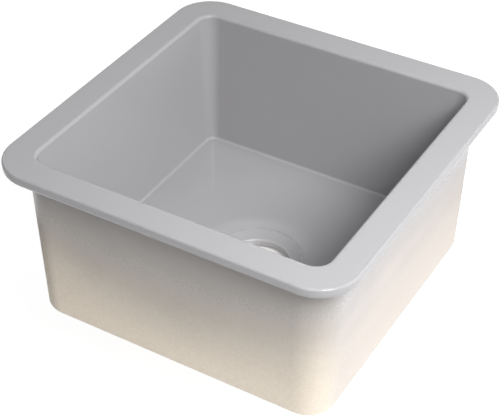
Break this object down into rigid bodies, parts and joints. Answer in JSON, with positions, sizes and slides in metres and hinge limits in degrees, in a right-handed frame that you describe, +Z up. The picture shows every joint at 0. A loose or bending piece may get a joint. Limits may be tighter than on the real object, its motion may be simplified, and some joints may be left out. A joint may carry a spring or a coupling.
{
  "type": "kitchen sink",
  "caption": "Square fireclay kitchen sink bowl with a flat rounded rim, and a central drain with a lift-out strainer basket, a sliding stopper and a tailpiece.",
  "frame": {"origin": "middle of the bowl, on the plane of the rim's underside, which is the top of the worktop it rests on", "axes": "+Z up, +X and +Y along the bowl's square sides"},
  "size_m": [0.457, 0.457, 0.385],
  "materials": {
    "bowl_glaze": "satin",
    "seal_putty": "matt",
    "strainer_steel": "brushed",
    "black_rubber": "matt",
    "fibre": "matt",
    "nut_brass": "cast, satin",
    "white_plastic": "matt",
    "pipe_chrome": "polished",
    "knob_chrome": "polished"
  },
  "bodies": {
    "sink": {"sink_bowl": "bowl_glaze", "flange_seal": "seal_putty", "strainer_body": "strainer_steel", "body_gasket": "black_rubber", "friction_washer": "fibre", "body_locknut": "nut_brass", "tailpiece_washer": "white_plastic", "tailpiece": "pipe_chrome", "coupling_nut": "pipe_chrome"},
    "basket": {"basket_cup": "strainer_steel", "basket_bush": "white_plastic", "bush_ring": "black_rubber"},
    "stopper": {"stopper_stem": "strainer_steel", "stopper_seal": "black_rubber", "seal_plate": "strainer_steel", "stem_clip": "strainer_steel", "stopper_knob": "knob_chrome"}
  },
  "joints": [
    {"name": "basket_lift", "type": "slide", "parent": "sink", "child": "basket", "axis": [0, 0, 1], "range_m": [0, 0.28]},
    {"name": "stopper_lift", "type": "slide", "parent": "basket", "child": "stopper", "axis": [0, 0, 1], "range_m": [0, 0.007]}
  ]
}
